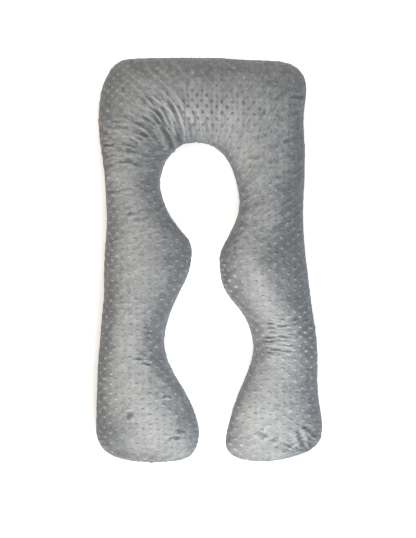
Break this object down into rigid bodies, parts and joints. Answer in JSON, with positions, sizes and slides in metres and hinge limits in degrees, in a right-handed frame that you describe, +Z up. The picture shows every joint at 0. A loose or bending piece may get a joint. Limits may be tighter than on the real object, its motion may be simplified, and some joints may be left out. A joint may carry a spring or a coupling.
{
  "type": "pregnancy pillow",
  "caption": "U-shaped full-body pregnancy pillow in dimple-dot plush: a long stuffed tube bent round an open middle, with wavy inner sides.",
  "frame": {"origin": "on the surface that the pillow lies on, under the middle of its box", "axes": "+Z up out of the face, +Y towards the closed head of the U, -Y towards its two feet"},
  "size_m": [0.7824, 1.399, 0.1799],
  "materials": {
    "plush": "warm grey dimple-dot plush, matt with a soft sheen"
  },
  "bodies": {
    "root": {"pillow": "plush"}
  },
  "joints": []
}
